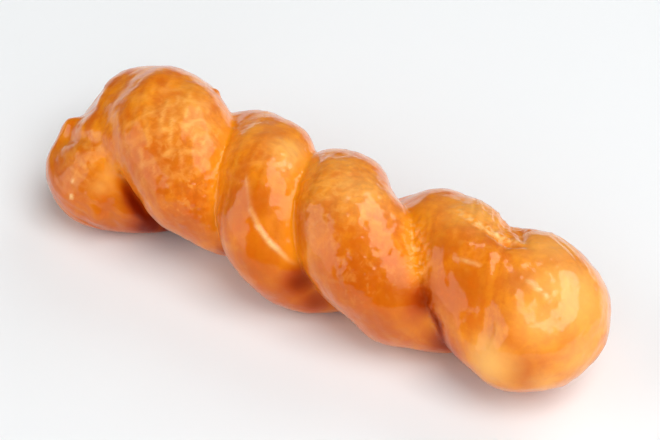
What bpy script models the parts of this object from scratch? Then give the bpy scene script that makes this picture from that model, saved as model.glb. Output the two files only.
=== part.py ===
"""A twist doughnut: one closed ring of dough, doubled and twisted round itself, then fried and glazed.

The ring lies along X as two legs joined by a round turn at each end, and its plane turns right-handed
about X, so that the legs cross over each other as the strands of a rope do. The first leg runs from
the far turn, at -X, to the near turn, at +X, and the second leg runs back. The front of the doughnut
faces -Y, and it rests on flat spots at Z = 0, with the origin at the middle of its footprint.

Dimensions are in millimetres. A table holds (place along X, value) pairs and is eased between them.
"""
import math

import bmesh
import bpy
import numpy as np
from mathutils import Matrix, Vector

MM = 0.001

# The rope of dough, and the ring that it makes.
STRAND_RADIUS = 15.4
FAR_TURN_X = -67.5
NEAR_TURN_X = 63.0
SPREAD = ((-60, 10.4), (-30, 10.6), (0, 13.4), (30, 9.0), (60, 4.5))

# Half turns of the twist made so far: the first leg is on the ridge at each even number.
HALF_TURNS = ((-89, -0.4), (-63, 0.0), (-25, 1.0), (-2, 2.0), (35, 3.0), (61, 3.85), (93, 3.85))
RIDGE_ANGLE = 49.0

# Share of the strand's radius along each leg, and at the middle of each turn.
FIRST_LEG_GIRTH = ((-71, 1.22), (-51, 1.22), (-17, 0.55), (9, 1.04), (43, 1.17), (66, 1.33))
SECOND_LEG_GIRTH = ((-71, 1.19), (-45, 1.03), (-19, 0.87), (13, 0.90), (43, 1.02), (66, 1.24))
FAR_TURN_GIRTH = 0.56
NEAR_TURN_GIRTH = 1.07

# The soft twist bows a little, and it settled under its own weight before it was fried.
BOW_Y = ((-85, -4.4), (-45, -0.4), (0, -1.6), (45, 5.4), (85, -2.8))
BOW_Z = ((-85, 15.0), (-45, 22.0), (0, 18.8), (45, 19.2), (85, 19.0))
SETTLED_HEIGHT = 0.80

# How far along X or round the ring a table is eased, in how many samples.
LEG_EASE = 12.0
GIRTH_EASE = 9.0
EASE_SAMPLES = 9

# Webs of dough fill the folds where the strands merged into one: the middle and the half sizes. The
# skin is smooth round each merged place, and less so towards its reach.
WEBS = {
    "far fold": ((-68.0, -13.0, 24.5), (12.0, 10.5, 8.5)),
    "far tip": ((-79.5, -4.0, 20.0), (6.5, 7.0, 6.0)),
    "near fold": ((63.0, -3.0, 25.0), (10.0, 9.0, 9.3)),
}
MERGED_PLACES = {
    "far fold": ((-71.0, -21.0, 28.0), 15.0),
    "far tip": ((-80.0, -3.0, 25.0), 9.0),
    "near fold": ((64.0, -4.0, 33.5), 12.0),
}
MERGED_SMOOTHING = 300

# Small bumps in the skin, where dough was pinched and torn: the place, the reach and the height.
BUMPS = {
    "pinch": ((-82.0, -10.5, 22.0), 3.8, 2.8),
    "tear": ((-48.0, 14.6, 37.4), 1.6, 2.0),
    "lump": ((-61.0, -27.0, 11.5), 3.0, 1.2),
}

# Creases in the skin, where dough folded over itself: the path, the width and the depth.
CREASES = {
    "near fold": (((35.6, 8, 36.3), (42.2, 6.5, 36.1), (49.4, 6.3, 35.1), (61, 8.5, 34.6)), 1.2, 1.8),
    "near back": (((49.8, 18.4, 30.5), (54.9, 11.9, 34), (61, 6, 34.8)), 1.2, 1.3),
    "far fold": (((-60, -19.5, 26.5), (-55, -19, 21), (-49.5, -18.5, 14), (-45.5, -13, 2)), 2.0, 3.6),
    "far flank": (((-64, -21, 27), (-58, -21, 21), (-53, -21.5, 12)), 4.5, 1.8),
    "far lobe": (((-87, -9, 17), (-80, -16, 24.7), (-73, -18, 29), (-67, -18.6, 30.3), (-58.5, -20, 27)),
                 2.4, 1.4),
    "under lump": (((-57, -25, 20), (-57.5, -26, 13), (-57, -23, 5)), 1.8, 0.9),
    "near front": (((44, -9, 33), (52, -13, 29.5), (60, -15, 27), (66, -19, 20)), 6.0, 0.6),
}

# Rounded edges that stand out of the skin: the path, the width and the height.
EDGES = {
    "near edge": (((49.6, -5.6, 35), (56.6, -7, 33.5), (63, -9.2, 31.6), (67.2, -14.5, 29), (73, -18, 22)),
                  4.5, 0.7),
}

# How fine the ring, its rope and the skin over it are, and how deep the flat spots go into the skin.
LEG_SAMPLES = 200
TURN_SAMPLES = 58
STATIONS = 420
STEPS_ROUND = 64
SKIN_VOXEL = 1.0
SKIN_SMOOTHING = 4
FACES_KEPT = 9000
FLAT_DEPTH = 0.25


def eased(place, table, reach):
    """The table's straight lines, with each value averaged over its neighbourhood by a cosine bell."""
    places, values = np.array(table, float).T
    offsets = np.linspace(-0.9, 0.9, EASE_SAMPLES)
    weights = 1 + np.cos(math.pi * offsets)
    samples = np.interp(place[:, None] + reach * offsets, places, values)
    return samples @ weights / weights.sum()


def ring_stations():
    """Evenly spaced x, rho and way round the ring: a half circle, a leg, a half circle and a leg."""
    legs_x = np.linspace(FAR_TURN_X, NEAR_TURN_X, LEG_SAMPLES)
    legs_rho = eased(legs_x, SPREAD, LEG_EASE)
    angle = np.linspace(0, math.pi, TURN_SAMPLES + 2)[1:-1]
    far_x = FAR_TURN_X - legs_rho[0] * np.sin(angle)
    near_x = NEAR_TURN_X + legs_rho[-1] * np.sin(angle)
    near_rho, far_rho = legs_rho[-1] * np.cos(angle), -legs_rho[0] * np.cos(angle)
    x = np.concatenate([legs_x, near_x, legs_x[::-1], far_x])
    rho = np.concatenate([legs_rho, near_rho, -legs_rho[::-1], far_rho])
    x, rho = np.append(x, x[0]), np.append(rho, rho[0])
    way = np.concatenate([[0], np.cumsum(np.hypot(np.diff(x), np.diff(rho)))])
    even = np.linspace(0, way[-1], STATIONS, endpoint=False)
    return np.interp(even, way, x), np.interp(even, way, rho), even, way[-1]


def girth_along(x, rho, way, whole):
    """The strand's radius at each station, eased round the closed ring between the named places."""
    marks = []
    for table, leg in ((FIRST_LEG_GIRTH, rho > 0), (SECOND_LEG_GIRTH, rho < 0)):
        for place, share in table:
            marks.append((way[np.argmin(np.where(leg, abs(x - place), np.inf))], share))
    marks.append((way[np.argmax(x)], NEAR_TURN_GIRTH))
    marks.append((way[np.argmin(x)], FAR_TURN_GIRTH))
    marks.sort()
    laps = [(mark + lap * whole, share) for lap in (-1, 0, 1) for mark, share in marks]
    return STRAND_RADIUS * eased(way, laps, GIRTH_EASE)


def unit(vectors):
    """Each vector, with its length made one."""
    return vectors / np.linalg.norm(vectors, axis=1)[:, None]


def rope_surface():
    """A circle carried round the twisted ring, as a grid of points: stations by steps round."""
    x, rho, way, whole = ring_stations()
    turn = np.radians(RIDGE_ANGLE) + math.pi * eased(x, HALF_TURNS, LEG_EASE)
    outward = np.stack([0 * turn, np.cos(turn), np.sin(turn)], axis=1)
    lengthwise = np.array([[1.0, 0.0, 0.0]])
    centre = x[:, None] * lengthwise + rho[:, None] * outward
    tangent = unit(np.roll(centre, -1, axis=0) - np.roll(centre, 1, axis=0))
    slope_x, slope_rho = np.roll(x, -1) - np.roll(x, 1), np.roll(rho, -1) - np.roll(rho, 1)
    normal = slope_x[:, None] * outward - slope_rho[:, None] * lengthwise
    normal = unit(normal - (normal * tangent).sum(axis=1)[:, None] * tangent)
    side = np.cross(tangent, normal)
    round_angle = np.linspace(0, 2 * math.pi, STEPS_ROUND, endpoint=False)[None, :, None]
    radius = girth_along(x, rho, way, whole)[:, None, None]
    circle = np.cos(round_angle) * normal[:, None] + np.sin(round_angle) * side[:, None]
    points = centre[:, None] + radius * circle
    points[..., 1] += eased(x, BOW_Y, LEG_EASE)[:, None]
    points[..., 2] = SETTLED_HEIGHT * points[..., 2] + eased(x, BOW_Z, LEG_EASE)[:, None]
    points[..., 2] = np.maximum(points[..., 2], 0)
    return points


def torus_faces(rows, columns):
    """The four-sided faces of a grid that closes on itself both ways."""
    index = np.arange(rows * columns).reshape(rows, columns)
    down, right = np.roll(index, -1, axis=0), np.roll(index, -1, axis=1)
    return np.stack([index, down, np.roll(down, -1, axis=1), right], axis=-1).reshape(-1, 4)


def dough_material():
    """Golden brown dough, with the gloss of its glaze."""
    material = bpy.data.materials.new("glazed_dough")
    material.use_nodes = True
    shader = material.node_tree.nodes["Principled BSDF"]
    shader.inputs["Base Color"].default_value = (0.78, 0.33, 0.07, 1.0)
    shader.inputs["Roughness"].default_value = 0.3
    shader.inputs["Metallic"].default_value = 0.0
    return material


def new_object(name, points, faces):
    """An object of these points and faces, in the scene."""
    mesh = bpy.data.meshes.new(name)
    mesh.from_pydata(points.reshape(-1, 3).tolist(), [], faces.tolist())
    obj = bpy.data.objects.new(name, mesh)
    bpy.context.collection.objects.link(obj)
    return obj


def add_webs(obj):
    """Each web is an icosphere stretched to its half sizes, in the same mesh as the rope."""
    shape = bmesh.new()
    shape.from_mesh(obj.data)
    for centre, half_size in WEBS.values():
        place = Matrix.Translation(MM * Vector(centre))
        stretch = Matrix.Diagonal(MM * Vector(half_size)).to_4x4()
        bmesh.ops.create_icosphere(shape, subdivisions=3, radius=1.0, matrix=place @ stretch)
    shape.to_mesh(obj.data)
    shape.free()


def apply_modifiers(obj):
    """The mesh that the modifiers make takes the place of the object's own."""
    evaluated = obj.evaluated_get(bpy.context.evaluated_depsgraph_get())
    finished = bpy.data.meshes.new_from_object(evaluated)
    obj.modifiers.clear()
    obj.data = finished


def vertex_array(mesh, field):
    """One row of three numbers for each vertex: its place or its normal."""
    values = np.empty(3 * len(mesh.vertices), np.float32)
    mesh.vertices.foreach_get(field, values)
    return values.reshape(-1, 3).astype(float)


def join_skin(obj):
    """One skin over the crossing strands and the webs, with the seams between them rounded."""
    remesh = obj.modifiers.new("skin", "REMESH")
    remesh.mode = "VOXEL"
    remesh.voxel_size = SKIN_VOXEL * MM
    obj.modifiers.new("soften", "SMOOTH").iterations = SKIN_SMOOTHING
    apply_modifiers(obj)


def merge_strands(obj):
    """The skin is smoothed hard round each merged place, and less towards its reach."""
    points = vertex_array(obj.data, "co")
    shares = np.zeros(len(points))
    for place, reach in MERGED_PLACES.values():
        distance = np.linalg.norm(points - MM * np.array(place), axis=1)
        shares = np.maximum(shares, 1 - (distance / (reach * MM)) ** 2)
    group = obj.vertex_groups.new(name="merged")
    for index in np.flatnonzero(shares):
        group.add([int(index)], shares[index], "REPLACE")
    smooth = obj.modifiers.new("merge", "SMOOTH")
    smooth.vertex_group = group.name
    smooth.iterations = MERGED_SMOOTHING
    apply_modifiers(obj)


def raise_bumps(mesh):
    """The skin swells outwards round each bump's place, in a bell as wide as its reach."""
    points, normals = vertex_array(mesh, "co"), vertex_array(mesh, "normal")
    for place, reach, height in BUMPS.values():
        distance = np.linalg.norm(points - MM * np.array(place), axis=1)
        swell = height * MM * np.exp(-((distance / (reach * MM)) ** 2))
        points += swell[:, None] * normals
    mesh.vertices.foreach_set("co", points.ravel())


def from_path(points, path):
    """Each point's distance to a path of straight steps, and its share of the way along the path."""
    steps = np.diff(path, axis=0)
    lengths = np.linalg.norm(steps, axis=1)
    nearest = np.full(len(points), np.inf)
    share = np.zeros(len(points))
    for start, step, length, before in zip(path, steps, lengths, np.cumsum(lengths) - lengths):
        part = np.clip((points - start) @ step / length**2, 0, 1)
        distance = np.linalg.norm(points - start - part[:, None] * step, axis=1)
        share = np.where(distance < nearest, (before + part * length) / lengths.sum(), share)
        nearest = np.minimum(nearest, distance)
    return nearest, share


def press_creases(mesh):
    """The skin sinks along creases and rises along edges, most at the path's middle, not at its ends."""
    points, normals = vertex_array(mesh, "co"), vertex_array(mesh, "normal")
    for outwards, table in ((-1, CREASES), (1, EDGES)):
        for path, width, height in table.values():
            nearest, share = from_path(points, MM * np.array(path))
            rise = height * MM * np.exp(-((nearest / (width * MM)) ** 2)) * np.sin(math.pi * share)
            points += outwards * rise[:, None] * normals
    mesh.vertices.foreach_set("co", points.ravel())


def thin_faces(obj):
    """Fewer faces, kept where the skin bends most."""
    decimate = obj.modifiers.new("fewer_faces", "DECIMATE")
    decimate.ratio = FACES_KEPT / (2 * len(obj.data.polygons))
    apply_modifiers(obj)


def stand_at_origin(mesh):
    """Flat spots underneath, at Z = 0, with the middle of the footprint's box over the origin."""
    points = vertex_array(mesh, "co")
    floor = points[:, 2].min() + FLAT_DEPTH * MM
    points[:, 2] = np.maximum(points[:, 2], floor) - floor
    points[:, :2] -= (points[:, :2].min(axis=0) + points[:, :2].max(axis=0)) / 2
    mesh.vertices.foreach_set("co", points.ravel())


def build_twist():
    """The whole doughnut, which is one solid."""
    twist = new_object("twist", MM * rope_surface(), torus_faces(STATIONS, STEPS_ROUND))
    add_webs(twist)
    join_skin(twist)
    merge_strands(twist)
    press_creases(twist.data)
    raise_bumps(twist.data)
    thin_faces(twist)
    stand_at_origin(twist.data)
    twist.data.materials.append(dough_material())
    twist.data.shade_smooth()


for old in list(bpy.data.objects):
    bpy.data.objects.remove(old)
build_twist()
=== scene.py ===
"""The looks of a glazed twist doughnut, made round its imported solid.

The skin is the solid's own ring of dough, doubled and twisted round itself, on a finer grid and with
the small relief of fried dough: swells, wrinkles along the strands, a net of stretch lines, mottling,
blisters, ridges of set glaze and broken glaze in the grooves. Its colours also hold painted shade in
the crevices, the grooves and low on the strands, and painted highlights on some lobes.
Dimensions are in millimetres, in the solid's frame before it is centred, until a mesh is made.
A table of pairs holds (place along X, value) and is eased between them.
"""
import math

import bmesh
import bpy
import numpy as np
from mathutils import Matrix, Vector


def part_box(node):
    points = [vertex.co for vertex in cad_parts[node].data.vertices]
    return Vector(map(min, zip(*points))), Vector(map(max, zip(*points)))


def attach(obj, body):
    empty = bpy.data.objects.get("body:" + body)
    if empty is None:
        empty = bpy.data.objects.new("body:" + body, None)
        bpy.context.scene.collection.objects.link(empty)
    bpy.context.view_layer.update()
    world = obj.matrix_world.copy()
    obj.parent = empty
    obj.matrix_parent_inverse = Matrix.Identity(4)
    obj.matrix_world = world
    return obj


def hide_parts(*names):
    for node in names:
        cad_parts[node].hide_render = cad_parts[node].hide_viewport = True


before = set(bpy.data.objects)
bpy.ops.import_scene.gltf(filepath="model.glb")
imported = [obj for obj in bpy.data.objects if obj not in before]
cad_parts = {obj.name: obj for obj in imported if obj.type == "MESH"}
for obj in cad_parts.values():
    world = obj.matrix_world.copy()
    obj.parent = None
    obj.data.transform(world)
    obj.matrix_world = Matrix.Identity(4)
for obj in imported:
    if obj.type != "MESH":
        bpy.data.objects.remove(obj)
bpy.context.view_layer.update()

MM = 0.001

# The ring of dough, as in the solid.
STRAND_RADIUS = 15.4
FAR_TURN_X = -67.5
NEAR_TURN_X = 63.0
SPREAD = ((-60, 10.4), (-30, 10.6), (0, 13.4), (30, 9.0), (60, 4.5))
HALF_TURNS = ((-89, -0.4), (-63, 0.0), (-25, 1.0), (-2, 2.0), (35, 3.0), (61, 3.85), (93, 3.85))
RIDGE_ANGLE = 49.0
FIRST_LEG_GIRTH = ((-71, 1.22), (-51, 1.22), (-17, 0.55), (9, 1.04), (43, 1.17), (66, 1.33))
SECOND_LEG_GIRTH = ((-71, 1.19), (-45, 1.03), (-19, 0.87), (13, 0.90), (43, 1.02), (66, 1.24))
FAR_TURN_GIRTH = 0.56
NEAR_TURN_GIRTH = 1.07
BOW_Y = ((-85, -4.4), (-45, -0.4), (0, -1.6), (45, 5.4), (85, -2.8))
BOW_Z = ((-85, 15.0), (-45, 22.0), (0, 18.8), (45, 19.2), (85, 19.0))
SETTLED_HEIGHT = 0.80
LEG_EASE = 12.0
GIRTH_EASE = 9.0
EASE_SAMPLES = 9
EASE_SPAN = 0.9

# Spheres stretched to half sizes, which fill the strands' corners: the place and the half sizes.
WEBS = {
    "far fold": ((-68.0, -13.0, 24.5), (12.0, 10.5, 8.5)),
    "far tip": ((-79.5, -4.0, 20.0), (6.5, 7.0, 6.0)),
    "near fold": ((63.0, -3.0, 25.0), (10.0, 9.0, 9.3)),
}
WEB_SUBDIVISIONS = 4
# Where the strands sank into each other: the place and the reach.
MERGED_PLACES = {
    "far fold": ((-71.0, -21.0, 28.0), 15.0),
    "far tip": ((-80.0, -3.0, 25.0), 9.0),
    "near fold": ((64.0, -4.0, 33.5), 12.0),
}
# Small lumps: the place, the reach and the height.
BUMPS = {
    "pinch": ((-82.0, -10.5, 22.0), 3.8, 2.8),
    "tear": ((-48.0, 14.6, 37.4), 1.6, 2.0),
    "lump": ((-61.0, -27.0, 11.5), 3.0, 1.2),
}
# Creases that sink into the skin: the path, the width and the depth.
CREASES = {
    "near fold": (((35.6, 8, 36.3), (42.2, 6.5, 36.1), (49.4, 6.3, 35.1), (61, 8.5, 34.6)), 1.2, 1.8),
    "near back": (((49.8, 18.4, 30.5), (54.9, 11.9, 34), (61, 6, 34.8)), 1.2, 1.3),
    "far fold": (((-60, -19.5, 26.5), (-55, -19, 21), (-49.5, -18.5, 14), (-45.5, -13, 2)), 2.0, 3.6),
    "far flank": (((-64, -21, 27), (-58, -21, 21), (-53, -21.5, 12)), 4.5, 1.8),
    "far lobe": (((-87, -9, 17), (-80, -16, 24.7), (-73, -18, 29), (-67, -18.6, 30.3), (-58.5, -20, 27)),
                 2.4, 1.4),
    "under lump": (((-57, -25, 20), (-57.5, -26, 13), (-57, -23, 5)), 1.8, 0.9),
    "near front": (((44, -9, 33), (52, -13, 29.5), (60, -15, 27), (66, -19, 20)), 6.0, 0.6),
}
# Rounded edges that stand out of the skin: the path, the width and the height.
EDGES = {
    "near edge": (((49.6, -5.6, 35), (56.6, -7, 33.5), (63, -9.2, 31.6), (67.2, -14.5, 29), (73, -18, 22)),
                  4.5, 0.7),
}
FLAT_DEPTH = 0.25

# How fine the skin is.
LEG_SAMPLES = 400
TURN_SAMPLES = 118
STATIONS = 900
STEPS_ROUND = 144
SKIN_VOXEL = 0.62
VERTEX_BLOCKS = 24
# Passes of smoothing on a grid of 1 mm, and how far each pulls a point of the merged places. To
# reach as far on a finer grid takes more passes, by the square of how much finer it is.
SKIN_SMOOTHING = 4
MERGED_SMOOTHING = 300
SMOOTHING_PULL = 0.5
# Two stations further apart than this along the ring are on different strands.
OTHER_STRAND = 45.0

# The camera: how it looks at the doughnut, in degrees, and where, in the solid's frame.
CAMERA_AZIMUTH = 35.4
CAMERA_ELEVATION = 40.0
CAMERA_DISTANCE = 650.0
CAMERA_LENS = 128.9
CAMERA_TARGET = (3.0, -0.85, 23.35)

# Soft boxes: azimuth and elevation in degrees, width and height in metres, power in watts, whether
# they light what they face, and whether the glaze mirrors them.
SOFT_BOXES = {
    "near_side": (80, 60, 1.8, 1.8, 41.5, True, False),
    "near_side_low": (80, 30, 1.8, 1.8, 13.5, True, False),
    "front": (35, 30, 1.8, 1.8, 17.5, True, False),
    "back": (170, 30, 1.8, 1.8, 24.0, True, False),
    "far_side": (-45, 25, 2.2, 2.1, 25.5, True, True),
    "window": (132, 62, 2.7, 1.6, 42.0, False, True),
}
# How far the soft boxes stand and how far the floor reaches, in metres.
LIGHT_DISTANCE = 2.4
FLOOR_REACH = 6.0
SURROUND_COLOUR = (0.05, 0.05, 0.05)
FLOOR_COLOUR = (0.843, 0.861, 0.87)

# Colours of the crust, and of what lies on it. Some stand in for light: painted shade and painted
# highlights.
GOLDEN = (0.88, 0.27, 0.006)
ORANGE = (0.70, 0.14, 0.001)
TOAST_AND_SHADE = (0.51, 0.082, 0.001)
# The colours of painted shade in crevices and grooves: its warm rim and its dark core.
PAINTED_SHADE_RIM = (0.46, 0.06, 0.001)
PAINTED_SHADE_CORE = (0.21, 0.009, 0.0002)
CREAM_AND_HIGHLIGHT = (0.97, 0.50, 0.12)
AMBER = (0.90, 0.27, 0.001)
SUGAR_AND_GLINT = (0.98, 0.66, 0.28)

# Cloudy patterns in the crust: how many features to a metre, and how many finer layers lie in them.
CLOUDS = {
    "blotch": (190.0, 3.0),
    "pore": (300.0, 3.0),
    "mottle": (430.0, 2.0),
    "speck": (700.0, 2.0),
}
# The same for streaks, but to a millimetre, as their own places are.
STREAK_CLOUD = (0.22, 3.0)
# How far the amber of a groove reaches up its sides.
GROOVE_DEPTH = 4.5

# Patches of the crust: the place, the reach and the strength. The toasted ones are browner: partly crust
# that fat browned more, partly painted shade low on the strands, at the front and by the grooves.
TOASTED_AND_SHADED = (
    ((-76, -26, 17), 11, 0.9), ((-70, -27, 14), 12, 0.6), ((-68, -22, 25), 6, 0.5),
    ((-66, -26, 19), 9, 0.8), ((-60, -24, 6), 16, 0.9), ((-59, -27, 14), 7, 0.8),
    ((-50, -23, 18), 9, 0.6), ((-46, -9, 43), 8, 0.5), ((-43, -22, 33.6), 13, 0.8),
    ((-36, -24, 20), 9, 0.7), ((-30, -24, 22), 9, 0.9), ((-16, -19, 31), 9, 0.8),
    ((-12, -17, 33), 7, 1.0), ((-8, -25, 18), 12, 0.7), ((-5, -26, 21), 9, 0.9),
    ((0, -22, 12), 14, 0.9), ((1, -15, 30), 8, 1.0), ((10, -15, 37), 6, 0.8),
    ((17, -23, 28), 8, 0.7), ((18, -21, 31), 9, 0.7), ((24, -21, 26), 12, 1.0),
    ((32, -22, 17), 12, 0.9), ((34, -18, 26), 9, 1.0), ((38, -17, 20), 8, 0.9),
    ((39, -13, 27), 6, 1.0), ((40, -14, 25), 5, 1.0), ((40, -5, 35), 6, 0.8),
    ((47, 2, 36), 8, 0.5), ((51, -12, 30), 10, 0.9), ((60, -17, 22), 9, 0.3),
    ((62, -4, 34), 4, 0.7), ((70, -22, 6), 14, 0.5), ((74, -18, 19), 6, 0.9),
)
# Paler patches of the crust: partly crust that stayed pale, because other dough covered it while it
# fried, partly painted highlight where light falls on the lobes, as on the far lobe's facet and the near
# dome.
PALE_AND_HIGHLIT = (
    ((-62, -23, 20), 2.5, 0.6), ((-59.6, -20.5, 23), 3, 1.0), ((-45, -4, 42), 12, 0.25),
    ((-26, 6, 39), 9, 0.3), ((-13, 2, 39), 7, 0.8), ((3, 4, 40), 7, 0.4), ((12, -2, 38), 9, 0.6),
    ((32, 12, 36), 8, 0.3), ((40, 12, 36), 9, 0.7), ((64, 12, 35), 9, 0.7), ((66, -20, 19), 7, 1.0),
    ((74, -9, 30), 8, 0.8), ((74, 1, 34), 9, 1.0), ((77, 2, 31), 13, 0.9), ((80, -14, 14), 6, 0.6),
    ((83, -5, 20), 9, 0.6),
)
# Painted shade: where the crust is painted deep red-brown, low between the strands where shade falls.
SHADED = (
    ((-49, -18, 8), 6, 1.0), ((-44, -12, 3), 8, 1.0), ((-20, -18, 12), 5, 0.5), ((5, -21, 17), 5, 0.75),
    ((9, -19, 10), 5, 0.6), ((41, -14, 24), 5, 0.7), ((51, -14, 12), 7, 0.9),
)
# Where the crust soaked up its glaze and is less glossy.
DULL = (
    ((-69, -22, 25), 9, 0.6), ((-44, -8, 41), 16, 1.0), ((-9, -10, 37), 6, 0.4), ((-5, -26, 21), 8, 0.5),
    ((0, -16, 30), 5, 0.7), ((6, -21, 15), 7, 0.7), ((34, -8, 31), 4, 0.8), ((34, -18, 26), 6, 0.8),
    ((39, -13, 27), 5, 1.0), ((67, -11, 31), 4, 0.7), ((72, -18, 18), 6, 0.6),
)
# Where the crust is mottled finely, pale and brown on orange.
MOTTLED = (
    ((-68, -22, 26), 9, 0.5), ((-42, -12, 41), 16, 0.6), ((-32, -20, 30), 8, 0.8), ((-12, 0, 38), 9, 0.5),
    ((10, -4, 39), 14, 0.8), ((26, -20, 30), 9, 0.5), ((48, 10, 36), 12, 0.6), ((76, 8, 30), 12, 0.4),
)
# Where pale lines run along and round the strand, because the dough stretched while it rose. The lines
# stand a little raised, and their paleness is partly painted highlight on them.
NETTED_AND_HIGHLIT = (
    ((-69, -22, 26), 8, 0.6), ((-43, -9, 42), 15, 1.0), ((-12, -4, 38), 9, 0.6), ((8, -6, 39), 10, 0.5),
)
NET_SPACING = 3.1
NET_LINE = 0.6
NET_WANDER = 0.45
# Where the skin is wrinkled along the strand.
WRINKLED = (
    ((-76, -24, 12), 7, 0.6), ((-64, -26, 9), 8, 0.9), ((-55, -5, 42), 10, 0.25), ((-5, 2, 38), 8, 0.3),
    ((34, 4, 35), 7, 0.4), ((44, 14, 35), 11, 1.0), ((50, -3, 35), 8, 0.35), ((66, 14, 34), 10, 0.6),
    ((84, 3, 20), 9, 0.5),
)
# Grooves painted deep red-brown as painted shade: the path, and how far the colour reaches.
SHADED_GROOVES = {
    "far fold": (((-57, -18, 22.5), (-53.5, -20, 17), (-50, -19.8, 12.5), (-45.5, -15, 2)), 2.6),
    "third groove": (((43, -14, 24), (47, -15.6, 20), (51, -16, 13)), 2.5),
}
# Grooves that are full of broken glaze: the path, and how far it reaches.
CRUMBLED_GROOVES = {
    "third groove": (((25, 2, 34), (29.3, -2.1, 33.2), (35.2, -8.6, 30.3), (40.2, -13.3, 25.6),
                      (46, -15.4, 22.4), (51, -17.3, 19)), 3.0),
    "near crease": (((34, 10, 36), (40, 7.6, 36.5), (46, 7.8, 36), (52, 8.6, 35.2), (57, 10, 34.6)), 2.0),
}
# Paths of set glaze, each a thin ridge painted light: the path, the ridge's width and height, and how
# broken it is. The second turn's low line, the near dome's streak and the far lobe's two dots are painted
# highlights on small ridges.
GLAZE_AND_GLINT_LINES = {
    "second turn": (((-21.8, -7.6, 38.2), (-16.2, -14.4, 36.5), (-11.2, -19.7, 33), (-7.3, -21.8, 30.4),
                     (-3.1, -22.6, 27.6), (-0.2, -22.1, 25.7), (2.3, -21.6, 23.7), (4.4, -20.4, 22)),
                    0.6, 0.6, 0.2),
    # Painted highlight along the lower edge of the second turn.
    "second turn, low": (((-15.3, -24.4, 20.2), (-10, -26.3, 17.5), (-4.2, -26.7, 16.2)), 0.6, 0.3, 0.5),
    "near lobe": (((44.7, -5.8, 34.4), (48.9, -5.4, 34.8), (52.7, -4.9, 34.7)), 0.55, 0.3, 0.3),
    "near crease": (((34, 10, 36), (40, 7.6, 36.5), (46, 7.8, 36), (52, 8.6, 35.2), (57, 10, 34.6)),
                    1.0, 0.4, 1.0),
    # Painted highlight: the streak on the near dome.
    "near dome glint": (((64.5, -2, 34), (68.4, -2.7, 33.6), (72.5, -3, 32.8)), 0.55, 0.3, 0.6),
    # Painted highlights: two dots on the far lobe.
    "far lobe": (((-69.9, -26, 21), (-69.8, -26.4, 19.4)), 0.5, 0.3, 0.3),
    "far lobe, low": (((-69, -28, 17.3), (-68.8, -28.6, 15.3)), 0.5, 0.3, 0.3),
}
# Where small blisters rose in the fat: the place, the reach and how many.
BLISTERED = (
    ((24, -20, 30), 9, 40), ((-30, -21, 27), 9, 45), ((6, -6, 38), 12, 25), ((52, 14, 33), 12, 25),
    ((70, 2, 33), 14, 20), ((-60, -20, 24), 10, 15), ((-10, -8, 37), 9, 15),
)
BLISTER_RADIUS = 0.7
BLISTER_HEIGHT = 0.28
BLISTER_SIZES = (0.5, 1.1)
BLISTER_SEED = 21

# Uneven fields of ripples: the wavelength and the seed of each. A field is a sum of waves whose
# lengths lie between two shares of its wavelength.
RIPPLES = {
    "swell": (17.0, 1),
    "dent": (5.0, 2),
    "wrinkle": (3.2, 3),
    "streak": (3.0, 4),
    "grain": (2.2, 5),
    "crumb": (2.6, 6),
    "fine crumb": (1.5, 8),
    "glaze crack": (1.7, 11),
    "ring line wander": (9.0, 7),
    "ring line fade": (5.0, 27),
    "long line wander": (9.0, 9),
    "long line fade": (5.0, 29),
}
RIPPLE_WAVES = 40
RIPPLE_LENGTHS = (0.7, 1.5)
# How high the relief stands.
SWELL_HEIGHT = 0.3
DENT_HEIGHT = 0.045
WRINKLE_DEPTH = 0.5
STREAK_HEIGHT = 0.03
GRAIN_HEIGHT = 0.012
MOTTLE_HEIGHT = 0.03
NET_HEIGHT = 0.08
CRUMB_HEIGHT = 0.12
# How much shorter than the ring the streaks' pattern is.
STREAK_SHRINK = 0.2
# The heights above the floor between which the relief rises from nothing, and the crumbs' colour does.
RELIEF_RISE = (2.0, 6.0)
CRUMB_RISE = (22.0, 32.0)


def eased(place, table, reach):
    """The table's straight lines, with each value averaged over its neighbourhood by a cosine bell."""
    places, values = np.array(table, float).T
    offsets = np.linspace(-EASE_SPAN, EASE_SPAN, EASE_SAMPLES)
    weights = 1 + np.cos(math.pi * offsets)
    samples = np.interp(place[:, None] + reach * offsets, places, values)
    return samples @ weights / weights.sum()


def ring_stations():
    """Even stations round the ring: x, the signed distance rho from the twist's axis, and the way.

    The ring is a leg at rho = spread, a half circle, a leg at rho = -spread and a half circle.
    """
    legs_x = np.linspace(FAR_TURN_X, NEAR_TURN_X, LEG_SAMPLES)
    legs_rho = eased(legs_x, SPREAD, LEG_EASE)
    angle = np.linspace(0, math.pi, TURN_SAMPLES + 2)[1:-1]
    far_x = FAR_TURN_X - legs_rho[0] * np.sin(angle)
    near_x = NEAR_TURN_X + legs_rho[-1] * np.sin(angle)
    near_rho, far_rho = legs_rho[-1] * np.cos(angle), -legs_rho[0] * np.cos(angle)
    x = np.concatenate([legs_x, near_x, legs_x[::-1], far_x])
    rho = np.concatenate([legs_rho, near_rho, -legs_rho[::-1], far_rho])
    x, rho = np.append(x, x[0]), np.append(rho, rho[0])
    way = np.concatenate([[0], np.cumsum(np.hypot(np.diff(x), np.diff(rho)))])
    even = np.linspace(0, way[-1], STATIONS, endpoint=False)
    return np.interp(even, way, x), np.interp(even, way, rho), even, way[-1]


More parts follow.
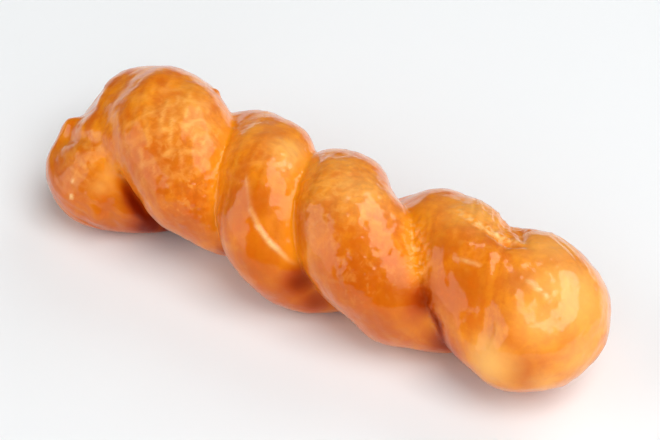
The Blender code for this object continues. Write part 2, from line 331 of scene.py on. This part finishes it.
def girth_along(x, rho, way, whole):
    """The strand's radius at each station, eased round the closed ring between the named places."""
    marks = []
    for table, leg in ((FIRST_LEG_GIRTH, rho > 0), (SECOND_LEG_GIRTH, rho < 0)):
        for place, share in table:
            marks.append((way[np.argmin(np.where(leg, abs(x - place), np.inf))], share))
    marks.append((way[np.argmax(x)], NEAR_TURN_GIRTH))
    marks.append((way[np.argmin(x)], FAR_TURN_GIRTH))
    marks.sort()
    laps = [(mark + lap * whole, share) for lap in (-1, 0, 1) for mark, share in marks]
    return STRAND_RADIUS * eased(way, laps, GIRTH_EASE)


def unit(vectors):
    """Each vector, with its length made one."""
    return vectors / np.linalg.norm(vectors, axis=-1, keepdims=True)


def ring_line():
    """The ring's middle line before it settles, with the two ways across it, its radius and its way.

    A station stands at x along the axis and rho from it, at an angle that turns on by the half turns.
    """
    x, rho, way, whole = ring_stations()
    turn = np.radians(RIDGE_ANGLE) + math.pi * eased(x, HALF_TURNS, LEG_EASE)
    outward = np.stack([0 * turn, np.cos(turn), np.sin(turn)], axis=1)
    lengthwise = np.array([[1.0, 0.0, 0.0]])
    centre = x[:, None] * lengthwise + rho[:, None] * outward
    tangent = unit(np.roll(centre, -1, axis=0) - np.roll(centre, 1, axis=0))
    slope_x, slope_rho = np.roll(x, -1) - np.roll(x, 1), np.roll(rho, -1) - np.roll(rho, 1)
    normal = slope_x[:, None] * outward - slope_rho[:, None] * lengthwise
    normal = unit(normal - (normal * tangent).sum(axis=1)[:, None] * tangent)
    side = np.cross(tangent, normal)
    radius = girth_along(x, rho, way, whole)
    return {"centre": centre, "normal": normal, "side": side, "radius": radius, "way": way, "whole": whole}


def rope_surface(ring):
    """A circle carried round the ring's line, settled and bowed, as a grid: stations by steps round.

    Each point is centre + radius * (cos angle * normal + sin angle * side). Its height is then lowered
    by the settling, the bow at its station is added, and what falls under the floor is lifted to it.
    """
    round_angle = np.linspace(0, 2 * math.pi, STEPS_ROUND, endpoint=False)[None, :, None]
    circle = np.cos(round_angle) * ring["normal"][:, None] + np.sin(round_angle) * ring["side"][:, None]
    points = ring["centre"][:, None] + ring["radius"][:, None, None] * circle
    x = ring["centre"][:, 0]
    points[..., 1] += eased(x, BOW_Y, LEG_EASE)[:, None]
    points[..., 2] = SETTLED_HEIGHT * points[..., 2] + eased(x, BOW_Z, LEG_EASE)[:, None]
    points[..., 2] = np.maximum(points[..., 2], 0)
    return points


def torus_faces(rows, columns):
    """The four-sided faces of a grid that closes on itself both ways."""
    index = np.arange(rows * columns).reshape(rows, columns)
    down, right = np.roll(index, -1, axis=0), np.roll(index, -1, axis=1)
    return np.stack([index, down, np.roll(down, -1, axis=1), right], axis=-1).reshape(-1, 4)


def new_object(name, points, faces):
    """An object of these points and faces, in the scene."""
    mesh = bpy.data.meshes.new(name)
    mesh.from_pydata(points.reshape(-1, 3).tolist(), [], faces.tolist())
    obj = bpy.data.objects.new(name, mesh)
    bpy.context.scene.collection.objects.link(obj)
    return obj


def add_webs(obj):
    """Each web is an icosphere stretched to its half sizes, in the same mesh as the rope."""
    shape = bmesh.new()
    shape.from_mesh(obj.data)
    for centre, half_size in WEBS.values():
        matrix = Matrix.Translation(MM * Vector(centre)) @ Matrix.Diagonal(MM * Vector(half_size)).to_4x4()
        bmesh.ops.create_icosphere(shape, subdivisions=WEB_SUBDIVISIONS, radius=1.0, matrix=matrix)
    shape.to_mesh(obj.data)
    shape.free()


def apply_modifiers(obj):
    """The mesh that the modifiers make takes the place of the object's own."""
    evaluated = obj.evaluated_get(bpy.context.evaluated_depsgraph_get())
    finished = bpy.data.meshes.new_from_object(evaluated)
    obj.modifiers.clear()
    obj.data = finished


def vertex_array(mesh, field):
    """One row of three numbers for each vertex: its place in metres, or its normal."""
    values = np.empty(3 * len(mesh.vertices), np.float32)
    mesh.vertices.foreach_get(field, values)
    return values.reshape(-1, 3).astype(float)


def move_vertices(mesh, points):
    """The mesh's vertices go to these points, which are in millimetres."""
    mesh.vertices.foreach_set("co", (MM * points).ravel())
    mesh.update()


def join_skin(obj):
    """One skin over the crossing strands and the webs, with the seams between them rounded."""
    remesh = obj.modifiers.new("skin", "REMESH")
    remesh.mode = "VOXEL"
    remesh.voxel_size = SKIN_VOXEL * MM
    obj.modifiers.new("soften", "SMOOTH").iterations = round(SKIN_SMOOTHING / SKIN_VOXEL**2)
    apply_modifiers(obj)


def from_place(points, place):
    """Each point's distance to one place."""
    return np.linalg.norm(points - place, axis=1)


def merge_strands(mesh):
    """The skin is smoothed hard round each merged place, by 1 - (distance / reach)^2 of the most.

    In each pass a point is pulled, by its share, towards the mean of its edges' middles.
    """
    points = vertex_array(mesh, "co") / MM
    share = np.zeros(len(points))
    for place, reach in MERGED_PLACES.values():
        share = np.maximum(share, 1 - (from_place(points, place) / reach) ** 2)
    edges = np.empty(2 * len(mesh.edges), np.int32)
    mesh.edges.foreach_get("vertices", edges)
    edges = edges.reshape(-1, 2)
    near, ends = np.unique(edges[(share[edges] > 0).any(axis=1)], return_inverse=True)
    ends, places = ends.ravel(), points[near]
    count, pull = np.bincount(ends)[:, None], SMOOTHING_PULL * share[near, None]
    for _ in range(round(MERGED_SMOOTHING / SKIN_VOXEL**2)):
        middles = places[ends].reshape(-1, 2, 3).mean(axis=1).repeat(2, axis=0)
        sums = np.stack([np.bincount(ends, column) for column in middles.T], axis=1)
        places += pull * (sums / count - places)
    points[near] = places
    move_vertices(mesh, points)


def from_path(points, path):
    """Each point's distance to a path of straight steps, and its share of the way along the path."""
    path = np.array(path)
    steps = np.diff(path, axis=0)
    lengths = np.linalg.norm(steps, axis=1)
    nearest = np.full(len(points), np.inf)
    share = np.zeros(len(points))
    for start, step, length, before in zip(path, steps, lengths, np.cumsum(lengths) - lengths):
        part = np.clip((points - start) @ step / length**2, 0, 1)
        distance = np.linalg.norm(points - start - part[:, None] * step, axis=1)
        share = np.where(distance < nearest, (before + part * length) / lengths.sum(), share)
        nearest = np.minimum(nearest, distance)
    return nearest, share


def bell(distance, reach):
    """1 at no distance, and less past the reach: exp(-(distance / reach)^2)."""
    return np.exp(-((distance / reach) ** 2))


def tapered(share):
    """1 in a path's middle and 0 at its ends: the square root of half a sine wave."""
    return np.sin(math.pi * share) ** 0.5


def rising(height, low, high):
    """A straight rise from 0 at the low height to 1 at the high one."""
    return np.clip((height - low) / (high - low), 0, 1)


def crease_height(points):
    """How far the skin sinks along creases and rises along edges.

    It is the peak, times a bell across the path, times half a sine wave along it.
    """
    height = np.zeros(len(points))
    for outwards, table in ((-1, CREASES), (1, EDGES)):
        for path, width, peak in table.values():
            distance, along = from_path(points, path)
            height += outwards * peak * bell(distance, width) * np.sin(math.pi * along)
    return height


def bump_height(points):
    """How far the skin swells round each bump's place, in a bell as wide as its reach."""
    height = np.zeros(len(points))
    for place, reach, peak in BUMPS.values():
        height += peak * bell(from_place(points, place), reach)
    return height


def strand_places(points, ring):
    """Where each point lies on the ring: way along it, angle round it, and gap to the next strand.

    The points are set back to before the ring settled. A point's strand is the one whose surface is
    nearest, and the gap is the distance to the nearest surface further along the ring.
    """
    straight = points.copy()
    straight[:, 1] -= eased(points[:, 0], BOW_Y, LEG_EASE)
    straight[:, 2] = (straight[:, 2] - eased(points[:, 0], BOW_Z, LEG_EASE)) / SETTLED_HEIGHT
    found = []
    for block in np.array_split(straight, VERTEX_BLOCKS):
        squares = (block**2).sum(axis=1)[:, None] - 2 * block @ ring["centre"].T
        squares += (ring["centre"] ** 2).sum(axis=1)
        depth = np.sqrt(np.maximum(squares, 0)) - ring["radius"]
        nearest = depth.argmin(axis=1)
        off = block - ring["centre"][nearest]
        sideways, upwards = ((off * ring[axis][nearest]).sum(axis=1) for axis in ("side", "normal"))
        apart = abs(ring["way"][None] - ring["way"][nearest][:, None])
        apart = np.minimum(apart, ring["whole"] - apart)
        gap = np.where(apart > OTHER_STRAND, depth, np.inf).min(axis=1)
        found.append(np.stack([ring["way"][nearest], np.arctan2(sideways, upwards), gap], axis=1))
    return np.concatenate(found).T


def streak_places(way, angle, whole):
    """Each point's place on two circles, one for the way along the ring and one for the angle round it.

    A pattern on these four numbers has no seam. The first circle is shrunk, so that the pattern is
    drawn out into streaks along the strand.
    """
    turn, reach = 2 * math.pi * way / whole, STREAK_SHRINK * whole / (2 * math.pi)
    circles = ((reach, turn), (STRAND_RADIUS, angle))
    return np.stack([radius * wave(part) for radius, part in circles for wave in (np.cos, np.sin)], axis=1)


def ripples(places, name):
    """An uneven field from about -2 to 2: a sum of cosine waves over the root of half their number.

    Each wave has a random direction and phase, and a random length near the named wavelength.
    """
    wavelength, seed = RIPPLES[name]
    random = np.random.default_rng(seed)
    ways = unit(random.normal(size=(RIPPLE_WAVES, places.shape[1])))
    ways /= wavelength * random.uniform(*RIPPLE_LENGTHS, RIPPLE_WAVES)[:, None]
    phases = random.uniform(0, 2 * math.pi, RIPPLE_WAVES)
    return np.sqrt(2 / RIPPLE_WAVES) * np.cos(2 * math.pi * places @ ways.T + phases).sum(axis=1)


def patches(points, table):
    """A field from 0 to 1: a bell round each patch's place, as wide as its reach, times its strength."""
    field = np.zeros(len(points))
    for place, reach, strength in table:
        field = np.maximum(field, strength * bell(from_place(points, place), reach))
    return field


def groove_share(points, grooves):
    """How near each point is to a groove: a bell across its path, tapered along it."""
    share = np.zeros(len(points))
    for path, reach in grooves.values():
        distance, along = from_path(points, path)
        share = np.maximum(share, bell(distance, reach) * tapered(along))
    return share


def glaze_and_glint_ridges(points):
    """The ridges of set glaze and of painted highlights, as a share of each ridge's height and as a
    height.

    A ridge is a bell across its path, tapered along it and worn away where it is cracked.
    """
    share, height = np.zeros(len(points)), np.zeros(len(points))
    cracks = 0.5 + 0.5 * ripples(points, "glaze crack")
    for path, width, rise, broken in GLAZE_AND_GLINT_LINES.values():
        distance, along = from_path(points, path)
        ridge = bell(distance, width) * tapered(along) * np.clip(1 - broken * cracks, 0, 1)
        share, height = np.maximum(share, ridge), np.maximum(height, rise * ridge)
    return share, height


def net_and_highlight_share(points, way, angle):
    """Pale lines round and along the strand, partly painted highlight: a bell over the distance to
    the nearest line.

    The lines stand evenly along the way and round the strand, then wander and fade unevenly.
    """
    share = np.zeros(len(points))
    for lines, place in (("ring line", way), ("long line", STRAND_RADIUS * angle)):
        count = (place + NET_WANDER * ripples(points, lines + " wander")) / NET_SPACING
        distance = NET_SPACING * abs(count - np.round(count))
        fade = np.clip(0.6 + 0.5 * ripples(points, lines + " fade"), 0, 1)
        share = np.maximum(share, fade * bell(distance, NET_LINE))
    return share * patches(points, NETTED_AND_HIGHLIT)


def blister_height(points):
    """Small round swellings, strewn evenly over each blistered place, each a bell of its own size."""
    random = np.random.default_rng(BLISTER_SEED)
    height = np.zeros(len(points))
    for place, reach, count in BLISTERED:
        inside = np.flatnonzero(from_place(points, place) < reach)
        for centre in points[random.choice(inside, count)]:
            size = random.uniform(*BLISTER_SIZES)
            swelling = bell(from_place(points[inside], centre), BLISTER_RADIUS * size)
            height[inside] = np.maximum(height[inside], BLISTER_HEIGHT * size * swelling)
    return height


def store(mesh, name, values):
    """One number, or one row of three, for each vertex, under this name."""
    kind, field = ("FLOAT_VECTOR", "vector") if values.ndim == 2 else ("FLOAT", "value")
    layer = mesh.attributes.new(name, kind, "POINT")
    layer.data.foreach_set(field, values.astype(np.float32).ravel())


def fit_to_solid(points):
    """The points are stretched to the solid's own box, once the lowest are flattened underneath."""
    points[:, 2] = np.maximum(points[:, 2], points[:, 2].min() + FLAT_DEPTH)
    low, high = (np.array(corner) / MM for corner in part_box("twist"))
    own_low, own_high = points.min(axis=0), points.max(axis=0)
    points -= own_low
    points *= (high - low) / (own_high - own_low)
    points += low


def build_skin():
    """The whole doughnut's skin, with its relief and the fields that its material reads.

    The relief is a sum of heights along the normals: swells, dents, wrinkles that sink where their
    ripples cross zero, streaks, grain, the net, crumbs of glaze, ridges of glaze and blisters.
    """
    ring = ring_line()
    skin = new_object("glazed_skin", MM * rope_surface(ring), torus_faces(STATIONS, STEPS_ROUND))
    add_webs(skin)
    join_skin(skin)
    merge_strands(skin.data)
    points, normals = vertex_array(skin.data, "co") / MM, vertex_array(skin.data, "normal")
    way, angle, gap = strand_places(points, ring)
    points += crease_height(points)[:, None] * normals
    points += bump_height(points)[:, None] * normals

    streaks = streak_places(way, angle, ring["whole"])
    mottled, net = patches(points, MOTTLED), net_and_highlight_share(points, way, angle)
    crumbled, (glaze, glaze_height) = groove_share(points, CRUMBLED_GROOVES), glaze_and_glint_ridges(points)
    wrinkles = patches(points, WRINKLED) * np.clip(1 - abs(ripples(streaks, "wrinkle")), 0, 1)
    relief = SWELL_HEIGHT * ripples(points, "swell") + DENT_HEIGHT * ripples(points, "dent")
    relief += STREAK_HEIGHT * ripples(streaks, "streak") - WRINKLE_DEPTH * wrinkles
    relief += (GRAIN_HEIGHT + MOTTLE_HEIGHT * mottled) * ripples(points, "grain") + NET_HEIGHT * net
    relief += CRUMB_HEIGHT * crumbled * (ripples(points, "crumb") + ripples(points, "fine crumb"))
    relief += glaze_height + blister_height(points)
    relief *= rising(points[:, 2], *RELIEF_RISE)
    points += relief[:, None] * normals

    fields = {
        # The toasted and pale patches hold painted shade and painted highlights as well as the crust's own
        # colour.
        "toasted_and_shaded": patches(points, TOASTED_AND_SHADED),
        "pale_and_highlight": patches(points, PALE_AND_HIGHLIT),
        "gap": gap,
        # Painted shade in the crevices and grooves.
        "shaded": np.maximum(patches(points, SHADED), groove_share(points, SHADED_GROOVES)),
        "mottled": mottled,
        # Net lines, their paleness partly painted highlight.
        "net": net,
        "dull": patches(points, DULL),
        "crumbled": crumbled * rising(points[:, 2], *CRUMB_RISE),
        # Set glaze, with a few painted highlights among its ridges.
        "glaze": glaze,
        "streaks": streaks[:, :3],
        "streaks_side": streaks[:, 3],
    }
    for name, values in fields.items():
        store(skin.data, name, values)
    fit_to_solid(points)
    move_vertices(skin.data, points)
    skin.data.shade_smooth()
    return skin


def around(azimuth, elevation):
    """The way to a point round the doughnut: azimuth 0 is the front, 90 is the near end."""
    turn, rise = math.radians(azimuth), math.radians(elevation)
    return Vector((math.sin(turn) * math.cos(rise), -math.cos(turn) * math.cos(rise), math.sin(rise)))


def place_camera():
    """The camera looks down on the front from the near end's side."""
    camera = bpy.data.objects.new("camera", bpy.data.cameras.new("camera"))
    bpy.context.scene.collection.objects.link(camera)
    camera.data.lens = CAMERA_LENS
    back = around(CAMERA_AZIMUTH, CAMERA_ELEVATION)
    camera.location = MM * (Vector(CAMERA_TARGET) + CAMERA_DISTANCE * back)
    camera.rotation_euler = (-back).to_track_quat("-Z", "Y").to_euler()
    bpy.context.scene.camera = camera


def soft_light(name, azimuth, elevation, width, height, power, lights, mirrored):
    """A soft box that faces the middle of the doughnut."""
    light = bpy.data.lights.new(name, "AREA")
    light.shape = "RECTANGLE"
    light.size, light.size_y = width, height
    light.energy = power
    box = bpy.data.objects.new(name, light)
    box.visible_diffuse, box.visible_glossy = lights, mirrored
    bpy.context.scene.collection.objects.link(box)
    back = around(azimuth, elevation)
    box.location = LIGHT_DISTANCE * back
    box.rotation_euler = (-back).to_track_quat("-Z", "Y").to_euler()


class Value:
    """A number, colour or place that varies over the surface, in sums with others and with numbers."""

    def __init__(self, finish, socket):
        self.finish, self.socket = finish, socket

    def maths(self, operation, first, second):
        return self.finish.add("ShaderNodeMath", {"operation": operation}, {0: first, 1: second})

    def __add__(self, other):
        return self.maths("ADD", self, other)

    def __sub__(self, other):
        return self.maths("SUBTRACT", self, other)

    def __rsub__(self, other):
        return self.maths("SUBTRACT", other, self)

    def __mul__(self, other):
        return self.maths("MULTIPLY", self, other)

    __radd__ = __add__
    __rmul__ = __mul__


class Finish:
    """A material: its shader's sockets take plain values, or links from sums over the surface."""

    # The sockets of a Mix node that hold its share, its two colours and the colour that comes out.
    SHARE, FIRST_COLOUR, SECOND_COLOUR, MIXED_COLOUR = 0, 6, 7, 2

    def __init__(self, name, sockets):
        self.material = bpy.data.materials.new(name)
        self.material.use_nodes = True
        self.nodes, self.links = self.material.node_tree.nodes, self.material.node_tree.links
        self.shade(sockets)

    def shade(self, sockets):
        """The shader's sockets by name, each with its value or link."""
        for name, value in sockets.items():
            self.feed(self.nodes["Principled BSDF"].inputs[name], value)

    def feed(self, socket, value):
        """A socket takes a plain value, or a link from a sum."""
        if isinstance(value, Value):
            self.links.new(value.socket, socket)
        else:
            socket.default_value = value

    def add(self, kind, settings, sockets, output=0):
        """A node of this kind: its settings first, then its sockets' values or links."""
        node = self.nodes.new(kind)
        for name, value in settings.items():
            setattr(node, name, value)
        for name, value in sockets.items():
            self.feed(node.inputs[name], value)
        return Value(self, node.outputs[output])

    def field(self, name, output="Fac"):
        """One of the skin's own fields."""
        return self.add("ShaderNodeAttribute", {"attribute_name": name}, {}, output)

    def cloud(self, vector, scale, detail, **sockets):
        """Cloudy noise from 0 to 1, with this many features for each unit of the vector."""
        settings = {"noise_dimensions": "4D"} if "W" in sockets else {}
        sockets = {"Vector": vector, "Scale": scale, "Detail": detail, **sockets}
        return self.add("ShaderNodeTexNoise", settings, sockets)

    def step(self, value, low, high):
        """A smooth rise from 0 at low to 1 at high."""
        sockets = {"Value": value, "From Min": low, "From Max": high}
        return self.add("ShaderNodeMapRange", {"interpolation_type": "SMOOTHSTEP"}, sockets)

    def mix(self, first, second, share):
        """The first colour, with this share of the second."""
        sockets = {self.SHARE: share}
        for socket, colour in ((self.FIRST_COLOUR, first), (self.SECOND_COLOUR, second)):
            sockets[socket] = colour if isinstance(colour, Value) else (*colour, 1)
        return self.add("ShaderNodeMix", {"data_type": "RGBA"}, sockets, self.MIXED_COLOUR)


def white_table():
    """A matt white surface."""
    return Finish("white_table", {"Base Color": (*FLOOR_COLOUR, 1), "Roughness": 0.6}).material


def glazed_dough():
    """Golden crust mottled with orange and brown, paler in patches, under a clear glossy glaze.

    Some of the brown is painted shade, and some of the paler colour is painted highlight.
    """
    finish = Finish("glazed_dough", {
        "Roughness": 0.3, "Specular IOR Level": 0.25, "Specular Tint": (1, 0.75, 0.3, 1),
        "Coat Roughness": 0.1, "Coat IOR": 1.5, "Subsurface Weight": 0.1, "Subsurface Scale": 0.003,
    })
    place = finish.add("ShaderNodeTexCoord", {}, {}, "Object")
    blotch = finish.cloud(place, *CLOUDS["blotch"], Roughness=0.65, Distortion=0.3)
    mottle = finish.cloud(place, *CLOUDS["mottle"], Distortion=0.5)
    speck, pore = (finish.cloud(place, *CLOUDS[name]) for name in ("speck", "pore"))
    streaks, streaks_side = finish.field("streaks", "Vector"), finish.field("streaks_side")
    streak = finish.cloud(streaks, *STREAK_CLOUD, W=streaks_side, Distortion=0.4)
    groove = 1 - finish.step(finish.field("gap"), 0.0, GROOVE_DEPTH)
    mottled, crumbled, shaded = (finish.field(name) for name in ("mottled", "crumbled", "shaded"))

    # What lies over the orange crust, from the lowest up: the colour, and how much of it covers.
    layers = (
        (GOLDEN, finish.step(0.6 * blotch + 0.4 * streak, 0.37, 0.63)),
        # Browner toasted patches, partly painted shade low on the strands and by the grooves.
        (TOAST_AND_SHADE, 0.9 * finish.field("toasted_and_shaded") * finish.step(blotch, 0.1, 0.5)),
        (TOAST_AND_SHADE, 0.6 * mottled * finish.step(mottle, 0.48, 0.62)),
        (CREAM_AND_HIGHLIGHT, 0.4 * mottled * (1 - finish.step(mottle, 0.3, 0.5))),
        # Net lines, their paleness partly painted highlight.
        (CREAM_AND_HIGHLIGHT, 0.6 * finish.field("net")),
        # Pale patches, partly painted highlight where light falls on the lobes.
        (CREAM_AND_HIGHLIGHT, 0.8 * finish.field("pale_and_highlight")),
        (AMBER, 0.8 * groove),
        (GOLDEN, 0.7 * crumbled),
        (SUGAR_AND_GLINT, 0.35 * crumbled * finish.step(speck, 0.5, 0.62)),
        # Set glaze, and on a few short ridges a painted highlight.
        (SUGAR_AND_GLINT, 0.9 * finish.field("glaze")),
        # Painted shade in the crevices and grooves: a warm rim, then a dark core.
        (PAINTED_SHADE_RIM, finish.step(shaded, 0.0, 0.5)),
        (PAINTED_SHADE_CORE, finish.step(shaded, 0.35, 0.9)),
    )
    colour = ORANGE
    for paint, share in layers:
        colour = finish.mix(colour, paint, share)

    pores = {"Height": pore + 0.35 * speck, "Strength": 0.3, "Distance": 0.0006}
    finish.shade({
        "Base Color": colour,
        "Coat Weight": 0.7 - 0.6 * shaded - 0.5 * finish.field("dull") - 0.3 * crumbled,
        "Normal": finish.add("ShaderNodeBump", {}, pores),
    })
    return finish.material


def studio():
    """A pale floor under soft light."""
    corners = FLOOR_REACH * np.array([(-1, -1, 0), (1, -1, 0), (1, 1, 0), (-1, 1, 0)])
    floor = new_object("floor", corners, np.array([[0, 1, 2, 3]]))
    floor.data.materials.append(white_table())
    world = bpy.data.worlds.new("studio")
    bpy.context.scene.world = world
    world.use_nodes = True
    world.node_tree.nodes["Background"].inputs["Color"].default_value = (*SURROUND_COLOUR, 1)
    for name, box in SOFT_BOXES.items():
        soft_light(name, *box)
    bpy.context.scene.view_settings.view_transform = "Standard"


place_camera()
studio()
skin = build_skin()
skin.data.materials.append(glazed_dough())
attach(skin, "root")
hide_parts("twist")
